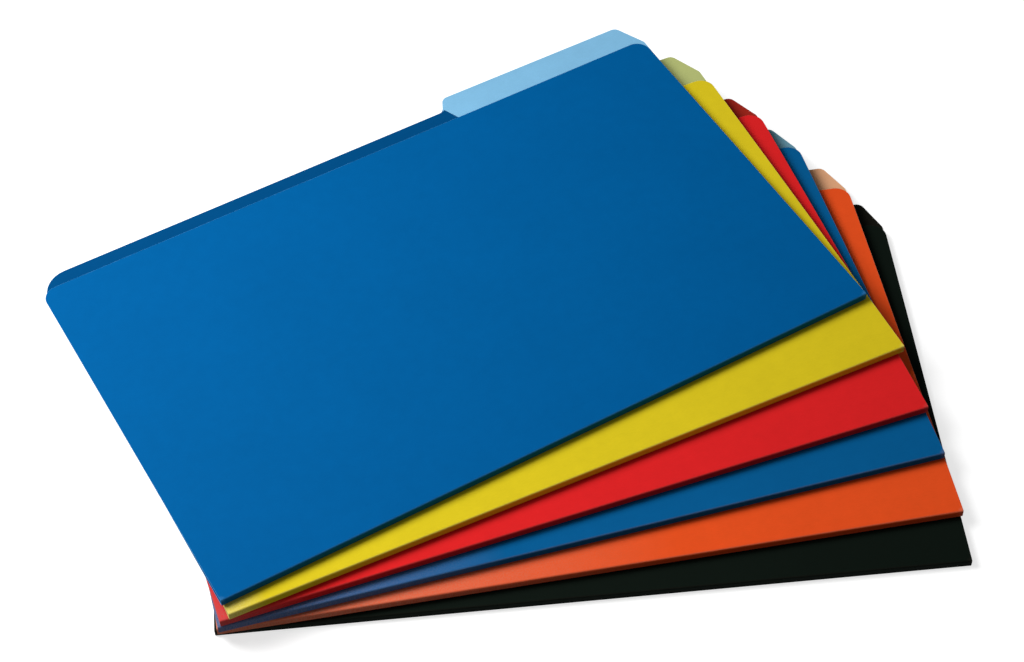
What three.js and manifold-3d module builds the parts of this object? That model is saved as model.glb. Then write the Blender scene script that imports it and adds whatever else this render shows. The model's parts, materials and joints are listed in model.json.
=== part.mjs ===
// A fan of six legal-size file folders, each one sheet of card that is die-cut with a
// third-cut tab at the right, scored twice along the fold and folded shut.
// Millimetres, +Z up. The fan lies flat on z = 0, and the lowest folder's fold runs along X.

import * as THREE from 'three';
import { mergeVertices } from 'three/addons/utils/BufferGeometryUtils.js';
import Module from 'manifold-3d';

const wasm = await Module();
wasm.setup();

// Card
const CARD = 0.4;
const CARD_ROUGHNESS = 0.55;

// Leaves, measured from the outside of the fold
const LEAF_WIDTH = 374.65;
const FRONT_HEIGHT = 222.25;
const BACK_HEIGHT = 233.4;
const FRONT_CORNER_RADIUS = 8;
const BACK_CORNER_RADIUS = 15;

// Tab on the back leaf, flush with the leaf's right edge
const TAB_WIDTH = 128;
const TAB_RISE = 7.9;
const TAB_INNER_SLANT = 4;
const TAB_OUTER_SLANT = 9;
const TAB_OUTER_DROP = 10;
const TAB_TOP_RADIUS = 4;
const TAB_FOOT_RADIUS = 3;

// Fold: a spine strip between two scores, whose inside height is that of the pocket
const POCKET_HEIGHT = 4.2;
const SCORE_GAP = 0.3;

// Further scores on the front leaf, at which the fold can be moved to widen the spine
const EXPANSION_SCORES = 2;
const SCORE_PITCH = 6.35;
const SCORE_WIDTH = 0.8;
const SCORE_DEPTH = 0.12;

// How the folders lie on each other
const LAY_GAP = 0.3;

// From the lowest folder up: where the left end of each fold lies, from that of the lowest
// folder, and how far the folder is turned about Z from it, in degrees
const FOLDERS = [
  { name: 'black', colour: 0x171c18, corner: [0, 0], turn: 0 },
  { name: 'orange', colour: 0xde4f24, corner: [1.8, -2.7], turn: 4.4 },
  { name: 'steel_blue', colour: 0x10598c, corner: [2.9, -4.9], turn: 9.7 },
  { name: 'red', colour: 0xd02523, corner: [4.5, -4.8], turn: 13.7 },
  { name: 'yellow', colour: 0xcdb922, corner: [9.4, -4.6], turn: 19.4 },
  { name: 'royal_blue', colour: 0x005f9f, corner: [6.4, 0.2], turn: 24 },
];

// Worked out from the sizes above
const SPINE_HEIGHT = POCKET_HEIGHT + 2 * CARD;
const MITRE_INSET = SCORE_GAP / Math.SQRT2;
const FOLDER_PITCH = SPINE_HEIGHT + LAY_GAP;

// How fine a rounded corner is, and how far a cut runs past what it cuts
const ARC_STEPS = 4;
const CUT_MARGIN = 1;

// Outlines and solids

// Closed outline through corners [x, y, radius], in order. A corner with a radius is an arc.
function roundedOutline(corners) {
  const shape = new THREE.Shape();
  const points = corners.map(([x, y]) => new THREE.Vector2(x, y));
  corners.forEach(([, , radius], i) => {
    const here = points[i];
    const before = points[(i + corners.length - 1) % corners.length].clone().sub(here).normalize();
    const after = points[(i + 1) % corners.length].clone().sub(here).normalize();
    if (!radius) {
      if (i === 0) shape.moveTo(here.x, here.y);
      else shape.lineTo(here.x, here.y);
      return;
    }
    const halfAngle = Math.acos(before.dot(after)) / 2;
    const start = here.clone().addScaledVector(before, radius / Math.tan(halfAngle));
    const end = here.clone().addScaledVector(after, radius / Math.tan(halfAngle));
    const toCentre = before.clone().add(after).normalize();
    const centre = here.clone().addScaledVector(toCentre, radius / Math.sin(halfAngle));
    const from = start.clone().sub(centre).angle();
    const to = end.clone().sub(centre).angle();
    const clockwise = before.cross(after) > 0;
    shape.absarc(centre.x, centre.y, radius, from, to, clockwise);
  });
  shape.closePath();
  return shape;
}

// Die-cut outline, as a block that holds the folded card's whole height
function cutBlock(outline) {
  const block = new THREE.ExtrudeGeometry(outline, {
    depth: SPINE_HEIGHT + 2 * CUT_MARGIN,
    bevelEnabled: false,
    curveSegments: ARC_STEPS,
  });
  return block.translate(0, 0, -CUT_MARGIN);
}

// Section in Y and Z, carried along the whole fold and past both its ends by overrun
function alongFold(section, overrun) {
  const shape = new THREE.Shape(section.map(([y, z]) => new THREE.Vector2(y, z)));
  const bar = new THREE.ExtrudeGeometry(shape, {
    depth: LEAF_WIDTH + 2 * overrun,
    bevelEnabled: false,
  });
  const toFold = new THREE.Matrix4().makeBasis(
    new THREE.Vector3(0, 1, 0),
    new THREE.Vector3(0, 0, 1),
    new THREE.Vector3(1, 0, 0),
  );
  return bar.applyMatrix4(toFold).translate(-overrun, 0, 0);
}

function toManifold(geometry) {
  const bare = geometry.clone();
  bare.deleteAttribute('normal');
  bare.deleteAttribute('uv');
  const merged = mergeVertices(bare, 1e-5);
  return new wasm.Manifold(new wasm.Mesh({
    numProp: 3,
    vertProperties: new Float32Array(merged.attributes.position.array),
    triVerts: new Uint32Array(merged.index.array),
  }));
}

function toGeometry(manifold) {
  const { vertProperties, triVerts } = manifold.getMesh();
  const geometry = new THREE.BufferGeometry();
  geometry.setAttribute('position', new THREE.BufferAttribute(new Float32Array(vertProperties), 3));
  geometry.setIndex(new THREE.BufferAttribute(new Uint32Array(triVerts), 1));
  geometry.computeVertexNormals();
  return geometry;
}

// A leaf is its scored section, cut to its outline
function cutLeaf(section, outline) {
  const scored = toManifold(alongFold(section, CUT_MARGIN));
  return toGeometry(scored.intersect(toManifold(cutBlock(outline))));
}

// The three panels of one folder, with the outside of the fold on Y = 0

// Back leaf: it lies outside face down and carries the tab. The tab's inner end stands on the
// free edge with a small fillet, and its outer end slants down to the leaf's right edge.
function backLeaf() {
  const tabTop = BACK_HEIGHT + TAB_RISE;
  const tabLeft = LEAF_WIDTH - TAB_WIDTH;
  const outline = roundedOutline([
    [0, 0, 0],
    [LEAF_WIDTH, 0, 0],
    [LEAF_WIDTH, BACK_HEIGHT - TAB_OUTER_DROP, TAB_TOP_RADIUS],
    [LEAF_WIDTH - TAB_OUTER_SLANT, tabTop, TAB_TOP_RADIUS],
    [tabLeft + TAB_INNER_SLANT, tabTop, TAB_TOP_RADIUS],
    [tabLeft, BACK_HEIGHT, TAB_FOOT_RADIUS],
    [0, BACK_HEIGHT, BACK_CORNER_RADIUS],
  ]);
  const section = [
    [MITRE_INSET, 0],
    [tabTop + CUT_MARGIN, 0],
    [tabTop + CUT_MARGIN, CARD],
    [MITRE_INSET + CARD, CARD],
  ];
  return cutLeaf(section, outline);
}

// Spine: the strip between the two scores, with both edges mitred to meet the leaves
function spine() {
  const section = [
    [0, SPINE_HEIGHT - MITRE_INSET],
    [0, MITRE_INSET],
    [CARD, MITRE_INSET + CARD],
    [CARD, SPINE_HEIGHT - CARD - MITRE_INSET],
  ];
  return alongFold(section, 0);
}

// Front leaf: outside face up, shorter than the back leaf, with the expansion scores pressed
// into its outside face beside the fold
function frontLeaf() {
  const outline = roundedOutline([
    [0, 0, 0],
    [LEAF_WIDTH, 0, 0],
    [LEAF_WIDTH, FRONT_HEIGHT, FRONT_CORNER_RADIUS],
    [0, FRONT_HEIGHT, FRONT_CORNER_RADIUS],
  ]);
  const inside = SPINE_HEIGHT - CARD;
  const section = [
    [MITRE_INSET, SPINE_HEIGHT],
    [MITRE_INSET + CARD, inside],
    [FRONT_HEIGHT + CUT_MARGIN, inside],
    [FRONT_HEIGHT + CUT_MARGIN, SPINE_HEIGHT],
  ];
  for (let i = EXPANSION_SCORES; i > 0; i -= 1) {
    const y = i * SCORE_PITCH;
    section.push([y + SCORE_WIDTH / 2, SPINE_HEIGHT]);
    section.push([y, SPINE_HEIGHT - SCORE_DEPTH]);
    section.push([y - SCORE_WIDTH / 2, SPINE_HEIGHT]);
  }
  return cutLeaf(section, outline);
}

// The fan

function panel(name, geometry, colour) {
  const material = new THREE.MeshStandardMaterial({
    color: colour,
    roughness: CARD_ROUGHNESS,
    metalness: 0,
  });
  const mesh = new THREE.Mesh(geometry, material);
  mesh.name = name;
  return mesh;
}

function folder({ name, colour, corner, turn }, level) {
  const group = new THREE.Group();
  group.add(panel(`${name}_back_leaf`, backLeaf(), colour));
  group.add(panel(`${name}_spine`, spine(), colour));
  group.add(panel(`${name}_front_leaf`, frontLeaf(), colour));
  group.position.set(corner[0], corner[1], level * FOLDER_PITCH);
  group.rotation.z = THREE.MathUtils.degToRad(turn);
  return group;
}

const fan = new THREE.Group();
FOLDERS.forEach((sheet, level) => fan.add(folder(sheet, level)));

// The origin is at the middle of the fan's footprint, on the surface that it lies on
const bounds = new THREE.Box3().setFromObject(fan, true);
const middle = bounds.getCenter(new THREE.Vector3());
fan.position.set(-middle.x, -middle.y, -bounds.min.z);

export default fan;
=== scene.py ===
import json
import math

import bmesh
import bpy
from mathutils import Matrix, Vector, noise


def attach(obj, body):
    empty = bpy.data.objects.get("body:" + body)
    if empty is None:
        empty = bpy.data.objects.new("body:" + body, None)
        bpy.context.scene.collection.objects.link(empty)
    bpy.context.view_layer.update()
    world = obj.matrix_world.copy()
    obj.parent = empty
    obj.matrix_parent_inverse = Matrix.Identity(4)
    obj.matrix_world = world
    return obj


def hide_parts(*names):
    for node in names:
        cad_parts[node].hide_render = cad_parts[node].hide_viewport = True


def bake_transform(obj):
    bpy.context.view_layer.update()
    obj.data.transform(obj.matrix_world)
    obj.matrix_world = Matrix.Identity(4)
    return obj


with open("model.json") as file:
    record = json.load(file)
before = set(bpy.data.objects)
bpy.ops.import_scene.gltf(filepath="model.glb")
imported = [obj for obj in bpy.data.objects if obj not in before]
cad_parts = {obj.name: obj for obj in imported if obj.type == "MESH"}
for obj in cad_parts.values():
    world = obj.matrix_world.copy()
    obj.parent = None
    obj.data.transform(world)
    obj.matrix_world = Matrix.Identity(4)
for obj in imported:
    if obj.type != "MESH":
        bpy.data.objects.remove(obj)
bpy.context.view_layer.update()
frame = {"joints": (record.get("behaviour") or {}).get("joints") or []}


# Camera
# It stands in front of the folds and a little to the left, looks down at the fan at 52 degrees,
# and is rolled a little, so that the lowest fold climbs to the right.

CAMERA_PLACE = Vector((-0.03777, -0.75498, 0.95127))
CAMERA_AIM = Vector((0.01623, -0.01287, 0.0050))
CAMERA_ROLL = math.radians(-1.7)
CAMERA_LENS = 78.85
CAMERA_SENSOR = 36.0
CAMERA_NEAR = 0.05
CAMERA_FAR = 30.0

camera = bpy.data.objects.new("camera", bpy.data.cameras.new("camera"))
bpy.context.scene.collection.objects.link(camera)
camera.data.lens = CAMERA_LENS
camera.data.sensor_width = CAMERA_SENSOR
camera.data.clip_start = CAMERA_NEAR
camera.data.clip_end = CAMERA_FAR
aim_turn = (CAMERA_AIM - CAMERA_PLACE).to_track_quat("-Z", "Y").to_matrix().to_4x4()
camera.matrix_world = Matrix.Translation(CAMERA_PLACE) @ aim_turn @ Matrix.Rotation(CAMERA_ROLL, 4, "Z")
bpy.context.scene.camera = camera


# Back leaves, each with the lower half of its spine
# Each folder is one sheet of dyed card, die-cut, scored along two lines and folded shut. Its back
# leaf lies outside face down and carries the tab, and turns up at the lower score into the spine.

MM = 0.001
CARD = 0.4 * MM
LEAF_WIDTH = 374.65 * MM
BACK_HEIGHT = 233.4 * MM
FRONT_HEIGHT = 222.25 * MM
BACK_CORNER_RADIUS = 15 * MM
CORNER_STEPS = 8

# The spine's height is that of the pocket and the card on both sides of it
SPINE_HEIGHT = 5.0 * MM
FOLD_RADIUS = 0.9 * MM
FOLD_STEPS = 5
BEND_ZONE = 1.5 * MM

# The tab is flush with the leaf's right edge
TAB_WIDTH = 128 * MM
TAB_RISE = 7.9 * MM
TAB_INNER_SLANT = 4 * MM
TAB_OUTER_SLANT = 9 * MM
TAB_OUTER_DROP = 10 * MM
TAB_TOP_RADIUS = 4 * MM
TAB_FOOT_RADIUS = 3 * MM
TAB_LEFT = LEAF_WIDTH - TAB_WIDTH
TAB_TOP = BACK_HEIGHT + TAB_RISE

# The die leaves each cut edge broken a little. An edge sharper than the first angle is a cut, and
# one flatter than the second belongs to a smooth bend.
EDGE_BREAK = 0.14 * MM
EDGE_STEPS = 3
CUT_ANGLE = math.radians(60)
SMOOTH_ANGLE = math.radians(40)

# The third finish of each sheet, after its outside and its inside
CUT_EDGE = 2

# Cells small enough for the card to wave, and how close counts as the same place
GRID = 14 * MM
NEAR = 0.01 * MM


def pick(kind, test):
    """In edit mode, selects each vertex or edge whose ends all pass the test of place."""
    bpy.ops.mesh.select_mode(type=kind)
    bpy.ops.mesh.select_all(action="DESELECT")
    sheet = bmesh.from_edit_mesh(bpy.context.object.data)
    if kind == "VERT":
        chosen = [vertex for vertex in sheet.verts if test(vertex.co)]
    else:
        chosen = [edge for edge in sheet.edges if all(test(vertex.co) for vertex in edge.verts)]
    for item in chosen:
        item.select_set(True)
    bmesh.update_edit_mesh(bpy.context.object.data)


def at(x, y):
    """A test of place: at x, y in the plane of the sheet."""
    return lambda spot: abs(spot.x - x) < NEAR and abs(spot.y - y) < NEAR


def cut_sheet(name, left, low, right, high, level):
    """A rectangle of card that lies flat at a level, left open in edit mode."""
    bpy.ops.object.select_all(action="DESELECT")
    bpy.ops.mesh.primitive_plane_add(size=1, location=((left + right) / 2, (low + high) / 2, level))
    sheet = bpy.context.object
    sheet.name = name
    sheet.scale = (right - left, high - low, 1)
    bpy.ops.object.transform_apply(location=True, rotation=True, scale=True)
    for _ in ("outside", "inside", "cut edge"):
        sheet.data.materials.append(None)
    bpy.ops.object.mode_set(mode="EDIT")
    return sheet


def move(x, y, along, up):
    """Moves the sheet's corner that lies at x, y."""
    pick("VERT", at(x, y))
    bpy.ops.transform.translate(value=(along, up, 0))


def round_corner(x, y, radius):
    """Rounds the sheet's corner that lies at x, y, whatever its angle."""
    pick("VERT", at(x, y))
    outline = bmesh.from_edit_mesh(bpy.context.object.data)
    corner = next(vertex for vertex in outline.verts if vertex.select)
    sides = [edge.other_vert(corner).co - corner.co for edge in corner.link_edges]
    cut = radius / math.tan(sides[0].angle(sides[1]) / 2)
    bpy.ops.mesh.bevel(offset=cut, offset_type="OFFSET", segments=CORNER_STEPS, affect="VERTICES")


def raise_tab():
    """Draws the sheet's upper edge out into the tab, and slants the tab's two ends."""
    pick("EDGE", lambda spot: spot.x > TAB_LEFT - NEAR and spot.y > BACK_HEIGHT - NEAR)
    bpy.ops.mesh.extrude_region_move(TRANSFORM_OT_translate={"value": (0, TAB_RISE, 0)})
    move(TAB_LEFT, TAB_TOP, TAB_INNER_SLANT, 0)
    move(LEAF_WIDTH, TAB_TOP, -TAB_OUTER_SLANT, 0)
    move(LEAF_WIDTH, BACK_HEIGHT, 0, -TAB_OUTER_DROP)
    bpy.ops.mesh.select_all(action="SELECT")
    bpy.ops.mesh.dissolve_faces()
    bpy.ops.mesh.select_all(action="SELECT")
    bpy.ops.mesh.dissolve_limited()
    round_corner(LEAF_WIDTH, BACK_HEIGHT - TAB_OUTER_DROP, TAB_TOP_RADIUS)
    round_corner(LEAF_WIDTH - TAB_OUTER_SLANT, TAB_TOP, TAB_TOP_RADIUS)
    round_corner(TAB_LEFT + TAB_INNER_SLANT, TAB_TOP, TAB_TOP_RADIUS)


def slice_sheet(place, direction):
    """Cuts new edges into the whole sheet where a plane crosses it."""
    bpy.ops.mesh.select_all(action="SELECT")
    bpy.ops.mesh.bisect(plane_co=place, plane_no=direction)


def fold_spine(level, rise):
    """Turns the sheet up or down at the fold, as far as half the spine, and rounds the bend."""
    pick("EDGE", lambda spot: spot.y < NEAR)
    bpy.ops.mesh.extrude_region_move(TRANSFORM_OT_translate={"value": (0, 0, rise)})
    pick("EDGE", lambda spot: spot.y < NEAR and abs(spot.z - level) < NEAR)
    bpy.ops.mesh.bevel(offset=FOLD_RADIUS, offset_type="OFFSET", segments=FOLD_STEPS, affect="EDGES")
    slice_sheet((0, BEND_ZONE, 0), (0, 1, 0))
    slice_sheet((0, 0, level + math.copysign(BEND_ZONE, rise)), (0, 0, 1))


def slice_grid():
    """Divides the leaf into cells, so that it can wave."""
    for column in range(1, int(LEAF_WIDTH / GRID)):
        slice_sheet((column * GRID, 0, 0), (1, 0, 0))
    for row in range(1, int(TAB_TOP / GRID) + 1):
        slice_sheet((0, row * GRID, 0), (0, 1, 0))


def give_thickness(sheet, level, outward, thickness, edge_break):
    """Keeps the flat cutting plan as a UV map, then thickens the sheet and breaks its edges."""
    bpy.ops.mesh.select_all(action="SELECT")
    bpy.ops.mesh.normals_make_consistent(inside=False)
    bpy.ops.object.mode_set(mode="OBJECT")
    mesh = sheet.data
    widest = max(mesh.polygons, key=lambda face: face.area)
    if widest.normal.z * outward < 0:
        mesh.flip_normals()
    plan = mesh.uv_layers.new(name="plan")
    for loop in mesh.loops:
        spot = mesh.vertices[loop.vertex_index].co
        plan.data[loop.index].uv = (spot.x, spot.y - abs(spot.z - level))
    card = sheet.modifiers.new("card", "SOLIDIFY")
    card.thickness = thickness
    card.offset = -1
    card.use_even_offset = True
    card.material_offset = 1
    card.material_offset_rim = CUT_EDGE
    bpy.ops.object.modifier_apply(modifier=card.name)
    bpy.ops.object.mode_set(mode="EDIT")
    bpy.ops.mesh.select_mode(type="EDGE")
    bpy.ops.mesh.select_all(action="DESELECT")
    body = bmesh.from_edit_mesh(mesh)
    for edge in body.edges:
        ends = [vertex.co for vertex in edge.verts]
        mid_spine = all(abs(end.z - SPINE_HEIGHT / 2) < NEAR and end.y < 2 * CARD for end in ends)
        edge.select_set(edge.calc_face_angle(0) > CUT_ANGLE and not mid_spine)
    bmesh.update_edit_mesh(mesh)
    bpy.ops.mesh.bevel(
        offset=edge_break, offset_type="OFFSET", segments=EDGE_STEPS, affect="EDGES", material=CUT_EDGE
    )
    bpy.ops.object.mode_set(mode="OBJECT")
    bpy.ops.object.shade_smooth_by_angle(angle=SMOOTH_ANGLE)
    flat_faces = sheet.modifiers.new("flat_faces", "WEIGHTED_NORMAL")
    flat_faces.keep_sharp = True
    bpy.ops.object.modifier_apply(modifier=flat_faces.name)


back_pattern = cut_sheet("back_pattern", 0, 0, LEAF_WIDTH, BACK_HEIGHT, 0)
slice_sheet((TAB_LEFT, 0, 0), (1, 0, 0))
raise_tab()
round_corner(TAB_LEFT, BACK_HEIGHT, TAB_FOOT_RADIUS)
round_corner(0, BACK_HEIGHT, BACK_CORNER_RADIUS)
fold_spine(0, SPINE_HEIGHT / 2)
slice_grid()
give_thickness(back_pattern, 0, -1, CARD, EDGE_BREAK)

# Pulp board is never quite even: it is cloudy by a few parts in a hundred, and shows short fibres
# that lie along the sheet. Both are drawn a little coarser than they are, so that they show.
FORMATION_CLOUD = 7 * MM
FORMATION_DETAIL = 3.0
BROAD_CLOUD = 45 * MM
BROAD_DETAIL = 2.0
FIBRE_LENGTH = 2.6 * MM
FIBRE_WIDTH = 0.45 * MM
FIBRE_DETAIL = 2.0
FIBRE_KINK = 0.8
UNEVENNESS = (0.9, 2.1)
TONES = (0.94, 1.06)

# The rollers leave a fine felt grain in its surface, which has next to no gloss. The outside is
# pressed smoothest, the inside a little less, and the cut edge shows raw fibres.
FELT_GRAIN = 0.8 * MM
FELT_DETAIL = 3.0
FELT_HEIGHT = 0.012 * MM
FELT_STRENGTH = 0.5
FELT_DEPTHS = (0.3, 0.7)
OUTSIDE_ROUGHNESS = 0.66
INSIDE_ROUGHNESS = 0.72
CUT_ROUGHNESS = 0.85
ROUGHNESS_SPREAD = (-0.05, 0.07)
GLOSS = 0.02

# The dye rubs off along the folds and round their ends, most where the felt stands proud. The pale line
# along each fold is also a painted highlight of its rounded bend. The spine is darkened below the fold as
# painted shade.
FOLD_WEAR_AND_HIGHLIGHT = 0.9 * MM
FOLD_PALENESS_AND_HIGHLIGHT = 0.4
TAB_END_WEAR = 3 * MM
END_PALENESS = 0.9
PROUD_FELT = (0.35, 0.65)
RUBBED_SHARE = (0.35, 1.0)
SPINE_SHADE_SPAN = (-1.5 * MM, -0.6 * MM)
SPINE_SHADE_TONE = 0.75

# The fan is held and squared up at its left end, where the card is rubbed pale, in most folders
# only at the corner, in the orange and steel blue ones far along the fold.
FOLDERS = [
    # name, outside, inside, cut edge and worn card, how far the left end is rubbed
    ("black", "#101813", "#0e0f0d", "#2c2622", 20 * MM),
    ("orange", "#f25522", "#b03a18", "#cc9078", 230 * MM),
    ("steel_blue", "#075e97", "#0a4064", "#7c7a95", 145 * MM),
    ("red", "#e32527", "#8f1714", "#c25a58", 45 * MM),
    ("yellow", "#e0c922", "#a09020", "#f0e088", 20 * MM),
    ("royal_blue", "#005c9b", "#00497e", "#4f92c8", 3 * MM),
]


def colour(code):
    """Linear colour of an sRGB hex value."""
    parts = [int(code[i : i + 2], 16) / 255 for i in (1, 3, 5)]
    return tuple(c / 12.92 if c <= 0.04045 else ((c + 0.055) / 1.055) ** 2.4 for c in parts) + (1.0,)


def add(tree, kind, settings, links):
    """Adds a node. Each input, by its name or number, is a value or another node's output."""
    node = tree.nodes.new(kind)
    for setting, value in settings.items():
        setattr(node, setting, value)
    for key, value in links.items():
        if isinstance(value, bpy.types.NodeSocket):
            tree.links.new(value, node.inputs[key])
        else:
            node.inputs[key].default_value = value
    return node


def folder_card(name, face, worn, rubbed, roughness):
    """Dyed pulp board, pressed between rollers: matt, a little cloudy, and pale where it wears. The pale
    line along the fold is partly a painted highlight, and the spine is darkened as painted shade.
    """
    material = bpy.data.materials.new(name)
    material.use_nodes = True
    tree = material.node_tree
    tree.nodes.clear()
    plan = add(tree, "ShaderNodeUVMap", {"uv_map": "plan"}, {}).outputs["UV"]

    def speckle(vector, scale, detail, distortion=0.0):
        settings = {"Vector": vector, "Scale": scale, "Detail": detail, "Distortion": distortion}
        return add(tree, "ShaderNodeTexNoise", {}, settings).outputs["Fac"]

    def work(operation, first, second):
        return add(tree, "ShaderNodeMath", {"operation": operation}, {0: first, 1: second}).outputs[0]

    def scaled(value, span, result):
        ends = {"From Min": span[0], "From Max": span[1], "To Min": result[0], "To Max": result[1]}
        return add(tree, "ShaderNodeMapRange", {}, {"Value": value, **ends}).outputs["Result"]

    # Clouds, fibres and felt, on the flat cutting plan
    along_grain = (1 / FIBRE_LENGTH, 1 / FIBRE_WIDTH, 1)
    grain = add(tree, "ShaderNodeMapping", {}, {"Vector": plan, "Scale": along_grain}).outputs["Vector"]
    formation = speckle(plan, 1 / FORMATION_CLOUD, FORMATION_DETAIL)
    clouds = work("ADD", formation, speckle(plan, 1 / BROAD_CLOUD, BROAD_DETAIL))
    fibres = speckle(grain, 1.0, FIBRE_DETAIL, FIBRE_KINK)
    felt = speckle(plan, 1 / FELT_GRAIN, FELT_DETAIL)

    # The spine is the part of the plan below the fold, where Y is negative
    across = add(tree, "ShaderNodeSeparateXYZ", {}, {"Vector": plan}).outputs["Y"]
    tone_and_spine_shade = scaled(work("ADD", clouds, fibres), UNEVENNESS, TONES)
    # Painted shade: the spine is darkened below the fold, for the shade in the gap under each fold
    tone_and_spine_shade = work("MULTIPLY", tone_and_spine_shade, scaled(across, SPINE_SHADE_SPAN, (SPINE_SHADE_TONE, 1.0)))
    toned_and_spine_shaded = add(tree, "ShaderNodeHueSaturation", {}, {"Color": colour(face), "Value": tone_and_spine_shade}).outputs["Color"]

    # Wear along the fold, there also a painted highlight of its rounded bend, and wear round its two ends
    from_fold = add(tree, "ShaderNodeMath", {"operation": "ABSOLUTE"}, {0: across}).outputs[0]
    wear_and_fold_highlight = scaled(from_fold, (0.0, FOLD_WEAR_AND_HIGHLIGHT), (FOLD_PALENESS_AND_HIGHLIGHT, 0.0))
    for end, extent in ((0, rubbed), (LEAF_WIDTH, TAB_END_WEAR)):
        to_end = {0: plan, 1: (end, 0, 0)}
        distance = add(tree, "ShaderNodeVectorMath", {"operation": "DISTANCE"}, to_end).outputs["Value"]
        wear_and_fold_highlight = work("MAXIMUM", wear_and_fold_highlight, scaled(distance, (0.0, extent), (END_PALENESS, 0.0)))
    wear_and_fold_highlight = work("MULTIPLY", wear_and_fold_highlight, scaled(felt, PROUD_FELT, RUBBED_SHARE))

    # A Mix of colours takes them at its inputs 6 and 7 and gives the result at its output 2
    mixed = {"Factor": wear_and_fold_highlight, 6: toned_and_spine_shaded, 7: colour(worn)}
    shade = add(tree, "ShaderNodeMix", {"data_type": "RGBA"}, mixed).outputs[2]
    relief = {"Strength": FELT_STRENGTH, "Distance": FELT_HEIGHT, "Height": work("ADD", felt, fibres)}
    surface = add(tree, "ShaderNodeBsdfPrincipled", {}, {
        "Base Color": shade,
        "Roughness": scaled(felt, FELT_DEPTHS, [roughness + spread for spread in ROUGHNESS_SPREAD]),
        "Specular IOR Level": GLOSS,
        "Normal": add(tree, "ShaderNodeBump", {}, relief).outputs["Normal"],
    })
    add(tree, "ShaderNodeOutputMaterial", {}, {"Surface": surface.outputs["BSDF"]})
    return material


# Card that has been handled isn't quite flat. It waves slowly, but hardly at all by its stiff fold.
LEAF_WAVE = 0.15 * MM
WAVE_LENGTH = 130 * MM
WAVE_START = 4 * MM
WAVE_FULL = 64 * MM
WAVE_SEED = 7.3

# The yellow folder is folded a little beside its scores: the back leaf gains what the front leaf
# loses. The top folder's tab has been handled most, and its inner end has curled up a little.
FOLD_SHIFT = {"yellow": 4 * MM}
TAB_CURL = {"royal_blue": 1.5 * MM}
CURL_POWER = 2


def share(value, start, full):
    """How far a value has come from its start to its full size, from 0 to 1."""
    return min(1.0, max(0.0, (value - start) / (full - start)))


def wave(spot, seed):
    """How far the card's slow waves lift it at a spot."""
    height = noise.noise(Vector((spot.x / WAVE_LENGTH, spot.y / WAVE_LENGTH, seed)))
    return share(spot.y, WAVE_START, WAVE_FULL) * LEAF_WAVE * height


def curl(spot, name):
    """How far the folder's tab has curled up at a spot: most at the top of its inner end."""
    above = share(spot.y, FRONT_HEIGHT, TAB_TOP)
    inward = share(LEAF_WIDTH - spot.x, 0, TAB_WIDTH)
    return TAB_CURL.get(name, 0) * above ** CURL_POWER * inward * (spot.x > TAB_LEFT - NEAR)


def lift_back(spot, name, level):
    """Bends a back leaf. The lowest one lies on the desk, so it bends upwards only."""
    bend = wave(spot, WAVE_SEED * level)
    spot.z += (bend if level else abs(bend)) + curl(spot, name)
    spot.y += FOLD_SHIFT.get(name, 0) * spot.y / BACK_HEIGHT


def lay(pattern, piece, name, level, materials, lift):
    """Copies a pattern with its own mesh, bends the card a little, and lays it in the fan."""
    sheet = bpy.data.objects.new(piece, pattern.data.copy())
    bpy.context.scene.collection.objects.link(sheet)
    for slot, material in enumerate(materials):
        sheet.data.materials[slot] = material
    for vertex in sheet.data.vertices:
        lift(vertex.co, name, level)
    sheet.data.transform(places[name])
    return sheet


joints = {joint["name"]: joint for joint in frame["joints"]}
places = {}
cards = {}
for level, (name, outside, inside, edge, rubbed) in enumerate(FOLDERS):
    score = joints[f"{name}_lower_score"]
    run = Vector(score["axis"]) * math.copysign(1, score["axis"][0])
    fold_start = Vector(score["pos_m"]) - run * LEAF_WIDTH / 2
    place = Matrix.Translation(fold_start) @ Matrix.Rotation(math.atan2(run.y, run.x), 4, "Z")
    places[name] = place
    cards[name] = [
        folder_card(f"{name}_card_outside", outside, edge, rubbed, OUTSIDE_ROUGHNESS),
        folder_card(f"{name}_card_inside", inside, edge, rubbed, INSIDE_ROUGHNESS),
        folder_card(f"{name}_card_cut_edge", edge, edge, rubbed, CUT_ROUGHNESS),
    ]
    back = lay(back_pattern, f"{name}_back_sheet", name, level, cards[name], lift_back)
    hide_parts(f"{name}_back_leaf", f"{name}_spine")
    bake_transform(back)
bpy.data.objects.remove(back_pattern)


# Front leaves, each with the upper half of its spine
# The front leaf is the shorter end of the same sheet, with both free corners rounded. Two further
# scores are pressed into its outside beside the fold, at which the spine can be made wider.

FRONT_CORNER_RADIUS = 8 * MM
EXPANSION_SCORES = 2
SCORE_PITCH = 6.35 * MM
SCORE_WIDTH = 0.8 * MM

# Pressed so lightly that they hardly show from where the folders are looked at
SCORE_DEPTH = 0.02 * MM

# Each front leaf sags towards its free edge. The top folder is shut a little askew, so its front
# leaf stands out on the left. A front leaf waves otherwise than the back leaf below it.
LEAF_SAG = 0.9 * MM
SAG_POWER = 3
FRONT_SKEW = {"royal_blue": -2.4 * MM}
FRONT_WAVE_STEP = 0.5

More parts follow.
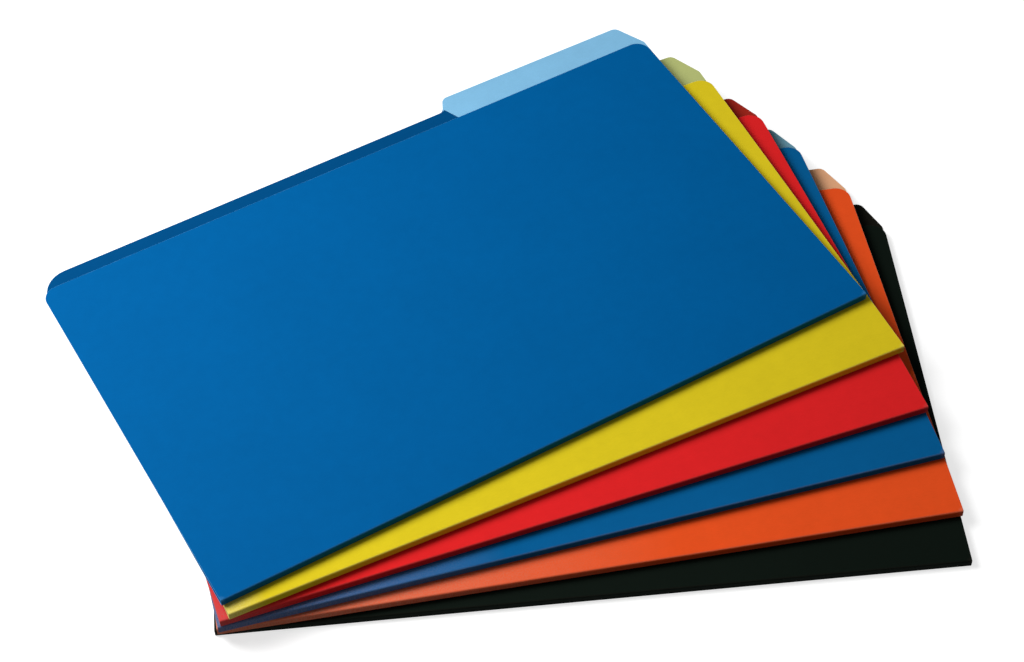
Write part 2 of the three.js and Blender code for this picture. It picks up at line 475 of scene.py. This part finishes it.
front_pattern = cut_sheet("front_pattern", 0, 0, LEAF_WIDTH, FRONT_HEIGHT, SPINE_HEIGHT)
round_corner(0, FRONT_HEIGHT, FRONT_CORNER_RADIUS)
round_corner(LEAF_WIDTH, FRONT_HEIGHT, FRONT_CORNER_RADIUS)
fold_spine(SPINE_HEIGHT, -SPINE_HEIGHT / 2)
slice_grid()
for score_line in (number * SCORE_PITCH for number in range(1, EXPANSION_SCORES + 1)):
    for side in (-SCORE_WIDTH / 2, 0, SCORE_WIDTH / 2):
        slice_sheet((0, score_line + side, 0), (0, 1, 0))
    pick("VERT", lambda spot: abs(spot.y - score_line) < NEAR)
    bpy.ops.transform.translate(value=(0, 0, -SCORE_DEPTH))
give_thickness(front_pattern, SPINE_HEIGHT, 1, CARD, EDGE_BREAK)


def lift_front(spot, name, level):
    """Bends a front leaf, and lays it as the folder was shut."""
    out = spot.y / FRONT_HEIGHT
    spot.z += wave(spot, WAVE_SEED * (level + FRONT_WAVE_STEP)) - LEAF_SAG * out ** SAG_POWER
    spot.x += FRONT_SKEW.get(name, 0) * out
    spot.y -= FOLD_SHIFT.get(name, 0) * out


for level, (name, *_) in enumerate(FOLDERS):
    front = lay(front_pattern, f"{name}_front_sheet", name, level, cards[name], lift_front)
    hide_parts(f"{name}_front_leaf")
    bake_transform(front)
bpy.data.objects.remove(front_pattern)


# Tab facings
# Each tab is faced on the inside with a strip of paler, smoother stock, glued down, on which a
# label goes. The strip runs on below the front leaf's edge, and its inner end is cut on a slant.

FACING = 0.1 * MM
FACING_DEPTH = 26 * MM
FACING_INSET = 0.15 * MM
FACING_EDGE_BREAK = FACING / 4
FACING_SLANT = 0.71
FACING_BOTTOM = TAB_TOP - FACING_DEPTH
LABEL_ROUGHNESS = 0.55
FACING_COLOURS = {
    "black": "#1b1a15",
    "orange": "#edb186",
    "steel_blue": "#6f9fb2",
    "red": "#a42a1e",
    "yellow": "#bcc47c",
    "royal_blue": "#84bfe4",
}

facing_pattern = cut_sheet("facing_pattern", TAB_LEFT, FACING_BOTTOM, LEAF_WIDTH, BACK_HEIGHT, CARD)
raise_tab()
move(TAB_LEFT, FACING_BOTTOM, FACING_SLANT * (BACK_HEIGHT - FACING_BOTTOM), 0)
bpy.ops.mesh.select_all(action="SELECT")
bpy.ops.mesh.inset(thickness=FACING_INSET)
bpy.ops.mesh.select_all(action="INVERT")
bpy.ops.mesh.delete(type="FACE")
slice_grid()
bpy.ops.mesh.select_all(action="SELECT")
bpy.ops.transform.translate(value=(0, 0, FACING))
give_thickness(facing_pattern, CARD + FACING, 1, FACING, FACING_EDGE_BREAK)

for level, (name, facing) in enumerate(FACING_COLOURS.items()):
    label_stock = folder_card(f"{name}_label_stock", facing, facing, TAB_END_WEAR, LABEL_ROUGHNESS)
    strip = lay(facing_pattern, f"{name}_tab_facing", name, level, [label_stock] * 3, lift_back)
    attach(strip, f"{name}_back")
bpy.data.objects.remove(facing_pattern)


# Stage
# A plain white table top under one softbox, which hangs over the left end of the fan and a little
# behind its folds, as the shading and the narrow shadows under the folds show. To the camera the
# table glows, a little less beside the fan, which keeps its soft shadow, and fully further out.

TABLE_SIZE = 8.0
TABLE_DROP = 0.3 * MM
TABLE_SEEN = (0.6, 0.6, 0.6, 1)
TABLE_AS_LIGHT = (0.25, 0.25, 0.25, 1)
GLOW_BY_FAN = 0.7
FAN_REACH = 0.32
WHITE_REACH = 0.75

bpy.ops.object.select_all(action="DESELECT")
bpy.ops.mesh.primitive_plane_add(size=TABLE_SIZE, location=(0, 0, -TABLE_DROP))
table = bpy.context.object
table.name = "table"


def seen_directly(tree):
    """Is 1 for what the camera sees, itself or in a reflection, and 0 for light on the object."""
    ray = add(tree, "ShaderNodeLightPath", {}, {}).outputs
    mirrored = {0: ray["Is Glossy Ray"], 1: ray["Is Transmission Ray"]}
    reflected = add(tree, "ShaderNodeMath", {"operation": "MAXIMUM"}, mirrored).outputs[0]
    either = {0: ray["Is Camera Ray"], 1: reflected}
    return add(tree, "ShaderNodeMath", {"operation": "MAXIMUM"}, either).outputs[0]


# Matt laminate has no gloss of its own. It throws less light back on the folders than it shows.
matt_white = bpy.data.materials.new("matt_white_laminate")
matt_white.use_nodes = True
tree = matt_white.node_tree
tree.nodes.clear()
bright = add(tree, "ShaderNodeBsdfDiffuse", {}, {"Color": TABLE_SEEN}).outputs[0]
dim = add(tree, "ShaderNodeBsdfDiffuse", {}, {"Color": TABLE_AS_LIGHT}).outputs[0]
place_on_table = add(tree, "ShaderNodeTexCoord", {}, {}).outputs["Object"]
reach = add(tree, "ShaderNodeVectorMath", {"operation": "LENGTH"}, {0: place_on_table}).outputs["Value"]
ramp = {"Value": reach, "From Min": FAN_REACH, "From Max": WHITE_REACH, "To Min": GLOW_BY_FAN}
glowing = add(tree, "ShaderNodeMapRange", {}, ramp).outputs["Result"]
glow = add(tree, "ShaderNodeEmission", {}, {"Strength": glowing}).outputs[0]
lit = add(tree, "ShaderNodeAddShader", {}, {0: bright, 1: glow}).outputs[0]
chosen = add(tree, "ShaderNodeMixShader", {}, {0: seen_directly(tree), 1: dim, 2: lit}).outputs[0]
add(tree, "ShaderNodeOutputMaterial", {}, {"Surface": chosen})
table.data.materials.append(matt_white)

# The room lights the folders softly from all round, and is plain white to the camera
WHITE = (1, 1, 1, 1)
ROOM_LIGHT = 0.14
ROOM_SEEN = 1.0

world = bpy.data.worlds.new("studio")
bpy.context.scene.world = world
world.use_nodes = True
tree = world.node_tree
tree.nodes.clear()
soft = add(tree, "ShaderNodeBackground", {}, {"Color": WHITE, "Strength": ROOM_LIGHT}).outputs[0]
white = add(tree, "ShaderNodeBackground", {}, {"Color": WHITE, "Strength": ROOM_SEEN}).outputs[0]
camera_ray = add(tree, "ShaderNodeLightPath", {}, {}).outputs["Is Camera Ray"]
chosen = add(tree, "ShaderNodeMixShader", {}, {0: camera_ray, 1: soft, 2: white}).outputs[0]
add(tree, "ShaderNodeOutputWorld", {}, {"Surface": chosen})

SOFTBOX_PLACE = Vector((-0.60, 0.15, 0.85))
SOFTBOX_AIM = Vector((-0.10, -0.15, 0))
SOFTBOX_WIDTH = 0.6
SOFTBOX_WATTS = 13.1

softbox = bpy.data.objects.new("softbox", bpy.data.lights.new("softbox", "AREA"))
bpy.context.scene.collection.objects.link(softbox)
softbox.data.size = SOFTBOX_WIDTH
softbox.data.energy = SOFTBOX_WATTS
softbox.location = SOFTBOX_PLACE
softbox.rotation_mode = "QUATERNION"
softbox.rotation_quaternion = (SOFTBOX_AIM - SOFTBOX_PLACE).to_track_quat("-Z", "Y")

bpy.context.scene.view_settings.view_transform = "Standard"
